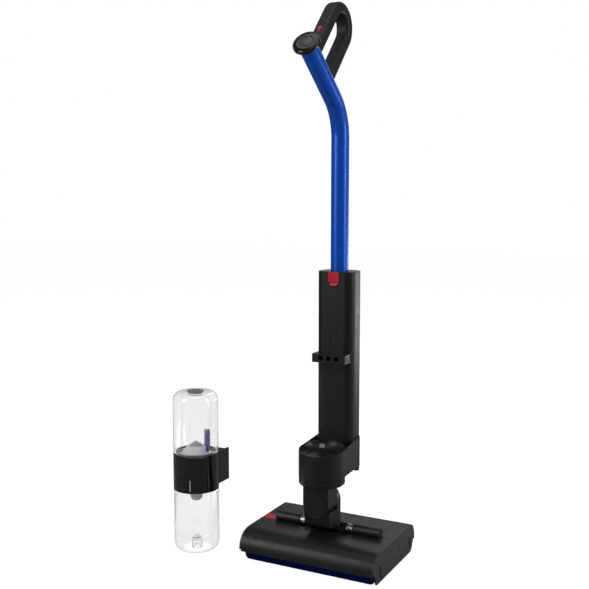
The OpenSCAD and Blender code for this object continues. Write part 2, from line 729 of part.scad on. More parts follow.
module tank_band() {
    color([0.04, 0.04, 0.042]) at_tank() difference() {
        union() {
            translate([0, 0, band_z[0]]) cylinder(r = tank_r + band_proud, h = band_z[1] - band_z[0], $fn = 96);
            translate([0, 0, 142]) linear_extrude(69) translate([-44, 22]) square([88, 40]);
        }
        translate([0, 0, band_z[0] - 1]) cylinder(r = 45.6, h = 90, $fn = 96);
        translate([0, 0, 146]) linear_extrude(61) translate([-40, 51.8]) square([80, 20]);
        translate([0, 0, 140]) linear_extrude(80) translate([-39.5, 52.2]) square([79, 20]);
        block([-40, 40], [20, 70], [182, 205]);
        translate([0, 0, 146]) linear_extrude(30) difference() {
            translate([-40, 30]) square([80, 20]);
            circle(r = tank_r + band_proud, $fn = 96);
        }
        latch_sector(44, 52, 18, 138, 165);
        translate([0, 0, 207]) rotate_extrude() translate([46.4, 0]) circle(1);
    }
}
module latch_sector(r0, r1, half, z0, z1) {
    translate([0, 0, z0]) linear_extrude(z1 - z0) difference() {
        intersection() {
            circle(r1, $fn = 96);
            polygon([[0, 0], [-60 * tan(half), -60], [60 * tan(half), -60]]);
        }
        circle(r0, $fn = 96);
    }
}
module tank_latch() {
    color([0.05, 0.05, 0.052]) at_tank() latch_sector(47.1, tank_r + latch_proud, 16.4, 138.6, 164.4);
}
module tank_core() {
    color([0.55, 0.56, 0.58]) at_tank() {
        difference() {
            union() {
                translate([0, 0, 176]) cylinder(r = 45.6, h = 28, $fn = 96);
                translate([0, 0, 203.9]) cylinder(r1 = 38, r2 = 15, h = 22);
                translate([0, 0, 225.8]) cylinder(r1 = 15.2, r2 = 1.5, h = 10);
                translate([0, 0, 118]) cylinder(r = 12, h = 60);
                translate([0, 0, 118]) sphere(14);
            }
            block([-pocket_hw, pocket_hw], [26.5, 70], [182.5, 204.5]);
            translate([0, 0, 100]) cylinder(r = 8, h = 90);
            translate([27, 2, 190]) cylinder(r = 3.6, h = 40);
        }
        for (i = [-1 : 1]) {
            translate([port_pitch * i, 26, nozzle_z]) rotate([-90, 0, 0]) cylinder(r = 4.6, h = 9.5);
        }
    }
}
module inlet_filter() {
    color([0.25, 0.22, 0.6]) at_tank() translate([27, 2, 0]) {
        translate([0, 0, 190]) cylinder(r = 3.5, h = 38);
        translate([0, 0, 228]) cylinder(r = 7.4, h = 34);
        translate([0, 0, 262]) cylinder(r1 = 7.4, r2 = 4, h = 4);
    }
}

place() chassis();
place() front_cover();
place() rear_cover();
place() end_plate_left();
place() end_plate_right();
place() barrel_left();
place() barrel_right();
place() shaft_clips();
place() front_roller_core();
place() front_roller_sleeve();
place() front_roller_motor();
place() rear_roller_core();
place() rear_roller_sleeve();
place() rear_roller_motor();
place() roller_bearings();
place() front_brush_bar();
place() rear_brush_bar();
place() drive_belts();
place() water_bars();
place() scrapers();
place() debris_tray();
place() tray_mesh();
place() tray_release();
place() head_screws();
place() lower_yoke();
place() hinge_shaft();
place() swivel_pin();
place() upper_neck();
place() neck_disc();
place() seat_ring();
place() seat_body();
place() docking_post();
place() post_tip();
place() tower_shell();
place() tower_cap();
place() rear_housing();
place() port_block();
place() port_seals();
place() battery_pack();
place() water_pump();
place() waste_pump();
place() main_board();
place() wand_socket();
place() wand_catch();
place() wand_tube();
place() wand_spigot();
place() handle_loop();
place() display_housing();
place() display_lens();
place() display_screen();
place() power_button();
place() mode_button();
place() handle_board();
place() dirty_tank();
place() tank_band();
place() tank_core();
place() inlet_filter();
place() clean_tank();
place() top_disc();
place() tank_latch();
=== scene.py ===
import json
import math

import bmesh
import bpy
from mathutils import Matrix, Vector, noise as field


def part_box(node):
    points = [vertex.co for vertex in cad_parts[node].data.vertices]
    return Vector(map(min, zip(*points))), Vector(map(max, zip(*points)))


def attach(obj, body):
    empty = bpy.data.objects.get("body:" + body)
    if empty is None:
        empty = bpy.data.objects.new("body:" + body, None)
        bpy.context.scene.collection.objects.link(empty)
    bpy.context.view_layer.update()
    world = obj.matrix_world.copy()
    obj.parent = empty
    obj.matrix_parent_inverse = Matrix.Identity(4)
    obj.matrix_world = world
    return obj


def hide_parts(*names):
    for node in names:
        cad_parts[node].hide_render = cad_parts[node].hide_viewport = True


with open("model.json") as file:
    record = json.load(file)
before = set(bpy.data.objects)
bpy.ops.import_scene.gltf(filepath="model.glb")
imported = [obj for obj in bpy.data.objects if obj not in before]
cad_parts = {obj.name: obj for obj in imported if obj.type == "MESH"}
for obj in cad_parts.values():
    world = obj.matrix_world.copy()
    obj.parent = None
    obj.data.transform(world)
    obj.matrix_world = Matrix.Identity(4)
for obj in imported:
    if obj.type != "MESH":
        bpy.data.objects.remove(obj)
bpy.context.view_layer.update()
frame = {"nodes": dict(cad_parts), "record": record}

MM = 0.001
nodes = frame["nodes"]
SLOT = {part["node"]: part["material_slot"] for part in frame["record"]["subparts"]}
BODY = {node: body for body, held in frame["record"]["behaviour"]["bodies"].items() for node in held}

# Machine frame in millimetres: x from the middle of the head, y back from the tower's front face at 22, z up
# from the floor. The tank has its own upright axis.
tower_lo, tower_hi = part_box("tower_shell")
MIDDLE_X = (tower_lo.x + tower_hi.x) / 2
FRONT_Y = tower_lo.y - 22 * MM
disc_lo, disc_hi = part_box("top_disc")
TANK_X = ((disc_lo.x + disc_hi.x) / 2 - MIDDLE_X) / MM
TANK_Y = ((disc_lo.y + disc_hi.y) / 2 - FRONT_Y) / MM
TANK_TOP = disc_hi.z / MM - 1


def at(x, y, z):
    """A point of the machine frame as metres of the row frame."""
    return Vector((MIDDLE_X + x * MM, FRONT_Y + y * MM, z * MM))


def size_mm(node):
    """A node's box in millimetres of the machine frame: lowest and highest corner."""
    lo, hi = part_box(node)
    origin = Vector((MIDDLE_X, FRONT_Y, 0))
    return (lo - origin) / MM, (hi - origin) / MM


# ------------------------------------------------------------------ camera, floor and light

VIEW_AZIMUTH = math.radians(27.43)
VIEW_ELEVATION = math.radians(6.6)
VIEW_DISTANCE = 1.7166
VIEW_TARGET = at(0, -153.2, 570.2)
LENS = 55.62


def make_camera():
    away = Vector((math.sin(VIEW_AZIMUTH) * math.cos(VIEW_ELEVATION),
                   -math.cos(VIEW_AZIMUTH) * math.cos(VIEW_ELEVATION), math.sin(VIEW_ELEVATION)))
    data = bpy.data.cameras.new("camera")
    data.lens = LENS
    data.sensor_width = 36
    camera = bpy.data.objects.new("camera", data)
    camera.location = VIEW_TARGET + away * VIEW_DISTANCE
    camera.rotation_euler = (-away).to_track_quat("-Z", "Y").to_euler()
    bpy.context.scene.collection.objects.link(camera)
    bpy.context.scene.camera = camera


ROOM_LIGHT = 0.1
FLOOR_HALF = 9
FLOOR_TONE = 0.35
FLOOR_GLOW = 0.95

# Each softbox: name, place, what it points at, width and height, watts.
SOFTBOXES = (
    ("key", (-1.5, -2.2, 1.6), (0, 0, 0.55), (1.0, 2.2), 24),
    ("side", (2.4, 0.3, 1.3), (0, 0, 0.5), (0.7, 2.2), 18),
    ("top", (0.2, -0.2, 3.0), (0, 0, 0), (2.2, 2.2), 12),
    ("back", (-0.6, 2.6, 1.8), (0, 0, 0.6), (1.6, 1.6), 6),
    ("rim", (1.3, 2.0, 0.25), (0, 0, 0.1), (1.8, 0.5), 8),
)


def softbox(name, place, target, size, watts):
    data = bpy.data.lights.new(name, "AREA")
    data.shape = "RECTANGLE"
    data.size, data.size_y = size
    data.energy = watts
    lamp = bpy.data.objects.new(name, data)
    lamp.location = place
    lamp.rotation_euler = (Vector(target) - Vector(place)).to_track_quat("-Z", "Y").to_euler()
    bpy.context.scene.collection.objects.link(lamp)


def seen_plainly(tree):
    """1 for a ray from the camera or through clear plastic, 0 for light bounced off a piece."""
    path = tree.nodes.new("ShaderNodeLightPath")
    seen = tree.nodes.new("ShaderNodeMath")
    seen.operation = "MAXIMUM"
    tree.links.new(path.outputs["Is Camera Ray"], seen.inputs[0])
    tree.links.new(path.outputs["Is Transmission Ray"], seen.inputs[1])
    return seen.outputs["Value"]


def make_world():
    """A white backdrop in a dim room: only a look straight at it, or through clear plastic, sees it white."""
    world = bpy.data.worlds.new("studio")
    world.use_nodes = True
    tree = world.node_tree
    room = tree.nodes["Background"]
    room.inputs["Color"].default_value = (1, 1, 1, 1)
    room.inputs["Strength"].default_value = ROOM_LIGHT
    backdrop = tree.nodes.new("ShaderNodeBackground")
    backdrop.inputs["Color"].default_value = (1, 1, 1, 1)
    mix = tree.nodes.new("ShaderNodeMixShader")
    tree.links.new(seen_plainly(tree), mix.inputs["Fac"])
    tree.links.new(room.outputs["Background"], mix.inputs[1])
    tree.links.new(backdrop.outputs["Background"], mix.inputs[2])
    tree.links.new(mix.outputs["Shader"], tree.nodes["World Output"].inputs["Surface"])
    bpy.context.scene.world = world


def make_studio():
    scene = bpy.context.scene
    scene.view_settings.view_transform = "Standard"
    make_world()
    for name, place, target, size, watts in SOFTBOXES:
        softbox(name, place, target, size, watts)
    mesh = bpy.data.meshes.new("floor")
    r = FLOOR_HALF
    mesh.from_pydata([(-r, -r, 0), (r, -r, 0), (r, r, 0), (-r, r, 0)], [], [(0, 1, 2, 3)])
    floor = bpy.data.objects.new("floor", mesh)
    scene.collection.objects.link(floor)
    material, tree, shader = new_material("floor")
    shader.inputs["Base Color"].default_value = (FLOOR_TONE, FLOOR_TONE, FLOOR_TONE, 1)
    shader.inputs["Roughness"].default_value = 0.8
    shader.inputs["Emission Color"].default_value = (1, 1, 1, 1)
    glow = tree.nodes.new("ShaderNodeMath")
    glow.operation = "MULTIPLY"
    glow.inputs[1].default_value = FLOOR_GLOW
    tree.links.new(seen_plainly(tree), glow.inputs[0])
    tree.links.new(glow.outputs["Value"], shader.inputs["Emission Strength"])
    mesh.materials.append(material)


# ------------------------------------------------------------------ materials

def new_material(name):
    material = bpy.data.materials.new(name)
    material.use_nodes = True
    tree = material.node_tree
    shader = tree.nodes["Principled BSDF"]
    return material, tree, shader


def noise(tree, scale, detail, stretch=None):
    """Noise over the object's own coordinates, in metres; stretch scales each axis."""
    coords = tree.nodes.new("ShaderNodeTexCoord")
    source = coords.outputs["Object"]
    if stretch:
        mapping = tree.nodes.new("ShaderNodeMapping")
        mapping.inputs["Scale"].default_value = stretch
        tree.links.new(source, mapping.inputs["Vector"])
        source = mapping.outputs["Vector"]
    node = tree.nodes.new("ShaderNodeTexNoise")
    node.inputs["Scale"].default_value = scale
    node.inputs["Detail"].default_value = detail
    tree.links.new(source, node.inputs["Vector"])
    return node.outputs["Fac"]


def ramp(tree, value, low, high, stops=(0.35, 0.65)):
    """Value mapped from grey or colour low to high between the two stops."""
    node = tree.nodes.new("ShaderNodeValToRGB")
    for element, stop, tone in zip(node.color_ramp.elements, stops, (low, high)):
        element.position = stop
        element.color = (*tone, 1) if hasattr(tone, "__len__") else (tone, tone, tone, 1)
    tree.links.new(value, node.inputs["Fac"])
    return node.outputs["Color"]


def bump(tree, shader, height, distance, strength):
    node = tree.nodes.new("ShaderNodeBump")
    node.inputs["Distance"].default_value = distance
    node.inputs["Strength"].default_value = strength
    tree.links.new(height, node.inputs["Height"])
    tree.links.new(node.outputs["Normal"], shader.inputs["Normal"])


def moulded(name, colour, roughness, grain=2600, depth=0.00004, coat=0.0):
    """Moulded plastic: fine even grain, slight colour and gloss variation."""
    material, tree, shader = new_material(name)
    paler = [min(1.0, c * 1.25 + 0.002) for c in colour]
    tree.links.new(ramp(tree, noise(tree, 9, 4), colour, paler), shader.inputs["Base Color"])
    gloss = ramp(tree, noise(tree, 60, 5), roughness * 0.9, min(1, roughness * 1.12))
    tree.links.new(gloss, shader.inputs["Roughness"])
    bump(tree, shader, noise(tree, grain, 2), depth, 0.35)
    shader.inputs["Coat Weight"].default_value = coat
    shader.inputs["Coat Roughness"].default_value = 0.06
    return material


def anodised(name, colour, edge):
    """Drawn, anodised aluminium: a fine grain along the tube under a dyed layer, and a painted sheen that
    mixes the base colour towards a paler tint at grazing angles.
    """
    material, tree, shader = new_material(name)
    grain = ramp(tree, noise(tree, 40, 3, (1, 1, 0.05)), [c * 0.85 for c in colour], colour)
    facing = tree.nodes.new("ShaderNodeLayerWeight")
    facing.inputs["Blend"].default_value = 0.5
    # Painted sheen: the base colour pales towards the edge tint where the surface turns away from view.
    painted_sheen = tree.nodes.new("ShaderNodeMix")
    painted_sheen.data_type = "RGBA"
    tree.links.new(ramp(tree, facing.outputs["Facing"], 0.0, 1.0, (0.55, 1.0)), painted_sheen.inputs["Factor"])
    tree.links.new(grain, painted_sheen.inputs["A"])
    # edge is the tint of the painted sheen, not a colour of the metal itself.
    painted_sheen.inputs["B"].default_value = (*edge, 1)
    tree.links.new(painted_sheen.outputs["Result"], shader.inputs["Base Color"])
    tree.links.new(ramp(tree, noise(tree, 900, 3, (1, 1, 0.03)), 0.26, 0.36), shader.inputs["Roughness"])
    bump(tree, shader, noise(tree, 2500, 2, (1, 1, 0.03)), 0.00002, 0.3)
    shader.inputs["Metallic"].default_value = 0.3
    return material


def metal(name, colour, roughness):
    material, tree, shader = new_material(name)
    tone = ramp(tree, noise(tree, 200, 4), colour, [min(1, c * 1.15) for c in colour])
    tree.links.new(tone, shader.inputs["Base Color"])
    turned = ramp(tree, noise(tree, 800, 3, (0.1, 1, 1)), roughness * 0.8, roughness * 1.2)
    tree.links.new(turned, shader.inputs["Roughness"])
    shader.inputs["Metallic"].default_value = 1.0
    return material


def clear(name, colour, roughness=0.02):
    """Clear polycarbonate with faint flow haze."""
    material, tree, shader = new_material(name)
    haze = [c * 0.985 for c in colour]
    tree.links.new(ramp(tree, noise(tree, 14, 3), haze, colour), shader.inputs["Base Color"])
    tree.links.new(ramp(tree, noise(tree, 30, 4), roughness * 0.5, roughness * 2), shader.inputs["Roughness"])
    shader.inputs["IOR"].default_value = 1.47
    shader.inputs["Transmission Weight"].default_value = 1.0
    return material


def pile(name, colour):
    """Dense microfibre: clumped darker and lighter strands with a soft sheen."""
    material, tree, shader = new_material(name)
    dark = [c * 0.3 for c in colour]
    tree.links.new(ramp(tree, noise(tree, 700, 6), dark, colour, (0.3, 0.7)), shader.inputs["Base Color"])
    tree.links.new(ramp(tree, noise(tree, 120, 3), 0.85, 1.0), shader.inputs["Roughness"])
    shader.inputs["Specular IOR Level"].default_value = 0.1
    shader.inputs["Sheen Weight"].default_value = 0.04
    shader.inputs["Sheen Tint"].default_value = (0.25, 0.35, 1.0, 1)
    bump(tree, shader, noise(tree, 1100, 5), 0.0006, 0.7)
    return material


MATERIALS = {
    "black_plastic": moulded("black_plastic", (0.011, 0.011, 0.0115), 0.38),
    "end_plate": moulded("end_plate", (0.045, 0.045, 0.046), 0.4),
    "gloss_black": moulded("gloss_black", (0.004, 0.004, 0.0045), 0.12, grain=900, depth=0.000005, coat=0.5),
    "grey_plastic": moulded("grey_plastic", (0.3, 0.3, 0.31), 0.4),
    "white_plastic": moulded("white_plastic", (0.4, 0.41, 0.42), 0.3),
    "disc_grey": moulded("disc_grey", (0.24, 0.24, 0.245), 0.42),
    "red_plastic": moulded("red_plastic", (0.9, 0.012, 0.05), 0.28),
    "teal_plastic": moulded("teal_plastic", (0.02, 0.16, 0.17), 0.4),
    "screen_grey": moulded("screen_grey", (0.1, 0.105, 0.115), 0.22, grain=900, depth=0.000005),
    "septum_grey": moulded("septum_grey", (0.62, 0.62, 0.64), 0.25),
    "lip_grey": moulded("lip_grey", (0.06, 0.06, 0.065), 0.3),
    # This pale grey is a painted highlight for the lit edges of the port block's panels.
    "port_painted_highlight": moulded("port_painted_highlight", (0.22, 0.22, 0.225), 0.35),
    "soft_grip": moulded("soft_grip", (0.012, 0.012, 0.0125), 0.5, grain=1500, depth=0.00012),
    "black_rubber": moulded("black_rubber", (0.01, 0.01, 0.01), 0.7),
    "black_steel": metal("black_steel", (0.05, 0.05, 0.052), 0.45),
    # The second colour is the tint of a painted sheen along the tube's edges.
    "blue_aluminium": anodised("blue_aluminium", (0.004, 0.16, 1.0), (0.28, 0.4, 1.0)),
    "grey_metal": metal("grey_metal", (0.42, 0.43, 0.45), 0.35),
    "steel": metal("steel", (0.42, 0.43, 0.44), 0.32),
    "blue_pile": pile("blue_pile", (0.0, 0.012, 0.16)),
    "brush": pile("brush", (0.03, 0.03, 0.06)),
    "clear_plastic": clear("clear_plastic", (0.905, 0.907, 0.912)),
    "filter_blue": moulded("filter_blue", (0.07, 0.055, 0.42), 0.35, grain=800, depth=0.0001),
    "battery_wrap": moulded("battery_wrap", (0.02, 0.08, 0.28), 0.3),
    "circuit_board": moulded("circuit_board", (0.01, 0.1, 0.035), 0.35),
}


# ------------------------------------------------------------------ mesh building

WELD = 0.02
FLAT_WITHIN = math.radians(0.5)
FACE_WEIGHT = 80


def to_row(bm):
    """Millimetres of the machine frame become metres of the row frame."""
    bm.transform(Matrix.Translation((MIDDLE_X, FRONT_Y, 0)) @ Matrix.Diagonal((MM, MM, MM, 1)))


def make_piece(bm, name, slot, body, replaced=(), sharp=32, edge=None, finish=None):
    """A finished piece from a bmesh that is already in the row frame."""
    bmesh.ops.recalc_face_normals(bm, faces=bm.faces)
    mesh = bpy.data.meshes.new(name)
    bm.to_mesh(mesh)
    bm.free()
    mesh.polygons.foreach_set("use_smooth", [True] * len(mesh.polygons))
    mesh.set_sharp_from_angle(angle=math.radians(sharp))
    mesh.materials.append(MATERIALS[finish or slot])
    obj = bpy.data.objects.new(name, mesh)
    bpy.context.scene.collection.objects.link(obj)
    if edge:
        bevel = obj.modifiers.new("edges", "BEVEL")
        bevel.width = edge * MM
        bevel.segments = 2
        bevel.limit_method = "ANGLE"
        bevel.angle_limit = math.radians(sharp)
        flat = obj.modifiers.new("flat_faces", "WEIGHTED_NORMAL")
        flat.keep_sharp = True
        flat.weight = FACE_WEIGHT
    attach(obj, body)
    if replaced:
        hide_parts(*replaced)


def refined(node, edge):
    """The CAD node's own shape as clean faces with rounded edges."""
    bm = bmesh.new()
    bm.from_mesh(nodes[node].data)
    bmesh.ops.remove_doubles(bm, verts=bm.verts, dist=WELD * MM)
    bmesh.ops.dissolve_limit(bm, angle_limit=FLAT_WITHIN, verts=bm.verts, edges=bm.edges)
    make_piece(bm, node + "_moulded", SLOT[node], BODY[node], [node], edge=edge)


def bridge(bm, low, high):
    """Faces between two rings of points, either of which may be one point."""
    count = max(len(low), len(high))
    if count == 1:
        return
    for i in range(count):
        j = (i + 1) % count
        corners = [low[i % len(low)], low[j % len(low)], high[j % len(high)], high[i % len(high)]]
        face = [v for k, v in enumerate(corners) if v not in corners[:k]]
        if len(face) > 2:
            bm.faces.new(face)


def skin(bm, rings):
    """Faces from each ring to the next."""
    for low, high in zip(rings, rings[1:]):
        bridge(bm, low, high)


def lathe(bm, profile, segments, centre=(0, 0), place=None):
    """Turns (radius, height) points round the upright axis through centre. A profile that ends where it
    starts closes on itself."""
    closed = profile[0] == profile[-1] and profile[0][0] > 0
    rings = []
    for r, z in profile[:-1] if closed else profile:
        count = segments if r > 0 else 1
        rings.append([bm.verts.new((centre[0] + r * math.cos(a), centre[1] + r * math.sin(a), z))
                      for a in (2 * math.pi * i / count for i in range(count))])
    if closed:
        rings.append(rings[0])
    skin(bm, rings)
    if place:
        bmesh.ops.transform(bm, matrix=place, verts=list({v for ring in rings for v in ring}))


def arc(cx, cz, r, start, end, steps):
    """Points round (cx, cz) from one angle to another, in degrees."""
    angles = [math.radians(start + (end - start) * i / steps) for i in range(steps + 1)]
    return [(cx + r * math.cos(a), cz + r * math.sin(a)) for a in angles]


def sweep(bm, stations, section):
    """Carries a closed section along stations, each (origin, side, up), in millimetres, and returns the two
    end rings."""
    rings = [[bm.verts.new(o + side * x + up * y) for x, y in section] for o, side, up in stations]
    skin(bm, rings)
    return rings[0], rings[-1]


# ------------------------------------------------------------------ wand

TUBE_R = 18.5
TUBE_WALL = 1.6
TUBE_Y = 50
BEND_Z = 919
BEND_R = 100
LEAN = math.radians(52)
UPPER_RUN = 200
TUBE_SIDES = 96
BEND_STEPS = 48
END_CHAMFER = 0.8
PUCK_SEAT = 10
LEAN_FRAME = Matrix.Translation((0, TUBE_Y, BEND_Z)) @ Matrix.Rotation(LEAN, 4, "X")


def make_tube():
    foot = size_mm("wand_tube")[0].z
    bend_t = BEND_R * math.tan(LEAN / 2)
    side = Vector((1, 0, 0))
    stations = []
    for z in (foot, foot + END_CHAMFER, BEND_Z - bend_t):
        stations.append((Vector((0, TUBE_Y, z)), side, Vector((0, 1, 0))))
    for i in range(1, BEND_STEPS + 1):
        a = LEAN * i / BEND_STEPS
        out = Vector((0, math.cos(a), math.sin(a)))
        stations.append((Vector((0, TUBE_Y - BEND_R, BEND_Z - bend_t)) + out * BEND_R, side, out))
    along = Vector((0, -math.sin(LEAN), math.cos(LEAN)))
    out = stations[-1][2]
    stations.append((Vector((0, TUBE_Y, BEND_Z)) + along * (UPPER_RUN - PUCK_SEAT), side, out))
    bm = bmesh.new()
    turn = 360 - 360 / TUBE_SIDES
    outer = sweep(bm, stations, arc(0, 0, TUBE_R, 0, turn, TUBE_SIDES - 1))
    inner = sweep(bm, stations, arc(0, 0, TUBE_R - TUBE_WALL, 0, turn, TUBE_SIDES - 1))
    for a, b in zip(outer, inner):
        bridge(bm, a, b)
    to_row(bm)
    make_piece(bm, "wand_tube_drawn", "blue_aluminium", "wand", ["wand_tube"])


PUCK_R = 27.5
PUCK_PLUG = 32
RIM_R = 2.1
LENS_R = 24.4
SCREEN_R = 13.9
LENS_DEPTH = 0.95
ROUND_SIDES = 160


def display_piece(name, slot, node, profile, sharp=32, segments=ROUND_SIDES):
    """A turned piece at the tube's leaning end; heights are above the display's face."""
    bm = bmesh.new()
    lathe(bm, profile, segments, place=LEAN_FRAME @ Matrix.Translation((0, 0, UPPER_RUN)))
    to_row(bm)
    make_piece(bm, name, slot, "wand", [node], sharp=sharp)


def make_display():
    """Glossy puck on the tube's end: rolled rim, shallow dish, glass ring and a grey screen."""
    plug_r = TUBE_R - TUBE_WALL - 0.1
    body_r = PUCK_R - 3.9
    well = [(LENS_R + 0.1, -0.4), (LENS_R + 0.1, -1), (0, -1)]
    display_piece("display_puck", "gloss_black", "display_housing",
                  [(0, -PUCK_PLUG), (plug_r, -PUCK_PLUG), (plug_r, -PUCK_SEAT), (body_r, -PUCK_SEAT)]
                  + arc(body_r, -6.2, 3.8, 270, 345, 8) + [(PUCK_R, -3.4)]
                  + arc(PUCK_R - 2.2, -2.1, RIM_R, 0, 100, 10) + well, sharp=40)
    inner = SCREEN_R + 0.2
    display_piece("display_glass", "gloss_black", "display_lens",
                  [(inner, -LENS_DEPTH), (LENS_R, -LENS_DEPTH), (LENS_R, -0.3), (LENS_R - 0.4, 0.05),
                   (inner + 1.1, 0.2), (inner + 0.3, 0.0), (inner, -0.3), (inner, -LENS_DEPTH)], sharp=50)
    display_piece("display_lcd", "screen_grey", "display_screen",
                  [(0, -0.6), (SCREEN_R, -0.6), (SCREEN_R, -0.2), (SCREEN_R - 0.5, 0.06), (0, 0.1)],
                  segments=128)


# ------------------------------------------------------------------ rollers

SLEEVE_INNER = 19.0
PILE_AROUND = 264
PILE_ALONG = 440
SHOULDER = 3.0
CLUMP_SCALE = 0.55
ROWS_ROUND = 44
ROW_SLANT = 0.35
ROW_DEPTH = 0.25
CLUMP_DEPTH = 1.0
SHOULDER_DROP = 1.6


def circle_yz(bm, x, y, z, r, sides):
    """A ring of points round a line along x."""
    angles = (2 * math.pi * i / sides for i in range(sides))
    return [bm.verts.new((x, y + r * math.cos(a), z + r * math.sin(a))) for a in angles]


def pile_radius(outer, x, a, shoulder):
    """The pile's height over the roller's axis: slanting rows of clumped loops that thin out at the ends."""
    scale = outer * CLUMP_SCALE
    clump = Vector((x * CLUMP_SCALE, math.cos(a) * scale, math.sin(a) * scale))
    row = math.sin(a * ROWS_ROUND + x * ROW_SLANT)
    loop = 0.5 + 0.5 * field.noise(clump)
    drop = 1 - math.sqrt(shoulder)
    return outer - ROW_DEPTH * (1 - row) - CLUMP_DEPTH * (1 - loop) - SHOULDER_DROP * drop


def make_sleeve(node, body):
    """Microfibre sleeve: short loops in slanting rows, a little proud of a dark backing."""
    lo, hi = size_mm(node)
    y, z = (lo.y + hi.y) / 2, (lo.z + hi.z) / 2
    outer = (hi.z - lo.z) / 2
    bm = bmesh.new()
    rings = []
    for j in range(PILE_ALONG + 1):
        x = lo.x + (hi.x - lo.x) * j / PILE_ALONG
        shoulder = min(1.0, min(x - lo.x, hi.x - x) / SHOULDER)
        ring = []
        for i in range(PILE_AROUND):
            a = 2 * math.pi * i / PILE_AROUND
            r = pile_radius(outer, x, a, shoulder)
            ring.append(bm.verts.new((x, y + r * math.cos(a), z + r * math.sin(a))))
        rings.append(ring)
    for x in (hi.x, lo.x):
        rings.append(circle_yz(bm, x, y, z, SLEEVE_INNER, PILE_AROUND))
    rings.append(rings[0])
    skin(bm, rings)
    to_row(bm)
    make_piece(bm, node + "_pile", "blue_pile", body, [node], sharp=60)


# ------------------------------------------------------------------ water tank

TANK_R = 48
NECK_R = 45.2
SHELL = 2.2
BAND_LOW = 134
BAND_HIGH = 211
MOUTH_Z = size_mm("dirty_tank")[1].z
FOOT_R = 18
TOP_R = 17
WELL_R = 8.8
WELL_TOP = 23
RIM_GAP = 0.4
STEP = 0.6
LIP = 0.5
DISC_HOLE_R = 15.2


def tank_piece(name, slot, body, profile, replaced=(), segments=ROUND_SIDES, sharp=32, centre=(0, 0),
               finish=None):
    """A turned piece of the tank; centre is measured from the tank's axis."""
    bm = bmesh.new()
    lathe(bm, profile, segments, (TANK_X + centre[0], TANK_Y + centre[1]))
    to_row(bm)
    make_piece(bm, name, slot, body, replaced, sharp, finish=finish)


def make_dirty_tank():
    """The lower tank: a stepped neck that goes into the band, and the well for the docking post."""
    mouth = BAND_LOW - RIM_GAP
    c = TANK_R - FOOT_R
    profile = ([(WELL_R, 0), (c, 0)] + arc(c, FOOT_R, FOOT_R, 270, 360, 16)
               + [(TANK_R, mouth - 1), (TANK_R - STEP, mouth), (NECK_R, mouth), (NECK_R, MOUTH_Z - LIP)]
               + [(NECK_R - LIP, MOUTH_Z), (NECK_R - SHELL, MOUTH_Z), (NECK_R - SHELL, mouth - 2.6)]
               + [(TANK_R - SHELL, mouth - 8)] + arc(c, FOOT_R, FOOT_R - SHELL, 360, 270, 16)
               + [(WELL_R + SHELL + 2, SHELL)] + arc(WELL_R + SHELL + 2, SHELL + 2, 2, 270, 180, 4)
               + [(WELL_R + SHELL - 0.8, WELL_TOP)] + arc(WELL_R - 0.8, WELL_TOP, SHELL, 0, 90, 6)
               + [(0, WELL_TOP + SHELL)])
    roof = WELL_TOP - 0.2
    under = [(0, roof), (WELL_R - 1.2, roof), (WELL_R - 0.2, WELL_TOP - 1.2), (WELL_R, 0.6)]
    tank_piece("dirty_tank_shell", "clear_plastic", "dirty_tank_body", under + profile, ["dirty_tank"])


def make_clean_tank():
    """The upper tank: open below, with a hole in its crown for the grey disc."""
    mouth = BAND_HIGH + RIM_GAP
    low = size_mm("clean_tank")[0].z
    c = TANK_R - TOP_R
    profile = ([(DISC_HOLE_R, TANK_TOP), (c, TANK_TOP)] + arc(c, TANK_TOP - TOP_R, TOP_R, 90, 0, 16)
               + [(TANK_R, mouth + 1), (TANK_R - STEP, mouth), (NECK_R, mouth), (NECK_R, low + LIP)]
               + [(NECK_R - LIP, low), (NECK_R - SHELL, low), (NECK_R - SHELL, mouth + 2.6)]
               + [(TANK_R - SHELL, mouth + 8)] + arc(c, TANK_TOP - TOP_R, TOP_R - SHELL, 0, 90, 16)
               + [(DISC_HOLE_R, TANK_TOP - SHELL), (DISC_HOLE_R, TANK_TOP)])
    tank_piece("clean_tank_shell", "clear_plastic", "clean_tank_body", profile, ["clean_tank"])


STRAINER_LONG = 38
STRAINER_R = 5.3
STEM_R = 3.5
STEM_SIDES = 48
PLEAT_SIDES = 96
PLEAT_ROWS = 40
SLEEVE_R = 7.4
SLEEVE_BORE = 6.5
CROWN_R = 3


def make_intake():
    """Stem with a pleated violet strainer under a clear sleeve."""
    lo, hi = size_mm("inlet_filter")
    cx, cy = (lo.x + hi.x) / 2, (lo.y + hi.y) / 2
    centre = (cx - TANK_X, cy - TANK_Y)
    low = hi.z - STRAINER_LONG
    bm = bmesh.new()
    lathe(bm, [(0, lo.z), (STEM_R, lo.z), (STEM_R, low), (0, low)], STEM_SIDES, (cx, cy))
    rings = []
    for j in range(PLEAT_ROWS + 1):
        z = low + (hi.z - 3 - low) * j / PLEAT_ROWS
        ring = []
        for i in range(PLEAT_SIDES):
            a = 2 * math.pi * i / PLEAT_SIDES
            r = STRAINER_R + 0.35 * math.cos(a * 12) + 0.45 * math.cos(j * math.pi / 4)
            ring.append(bm.verts.new((cx + r * math.cos(a), cy + r * math.sin(a), z)))
        rings.append(ring)
    rings = [[bm.verts.new((cx, cy, low))]] + rings + [[bm.verts.new((cx, cy, hi.z - 2.4))]]
    skin(bm, rings)
    to_row(bm)
    make_piece(bm, "intake_strainer", "filter_blue", "band", ["inlet_filter"])
    foot, shoulder = low + 0.5, hi.z - 4
    bend_r = SLEEVE_R - CROWN_R
    tank_piece("intake_sleeve", "clear_plastic", "band",
               [(SLEEVE_BORE, foot), (SLEEVE_R, foot), (SLEEVE_R, shoulder)]
               + arc(bend_r, shoulder, CROWN_R, 0, 90, 6) + [(0, hi.z - 1), (0, hi.z - 1.8)]
               + arc(bend_r, shoulder, CROWN_R - 0.9, 90, 0, 6) + [(SLEEVE_BORE, foot)],
               segments=64, centre=centre)


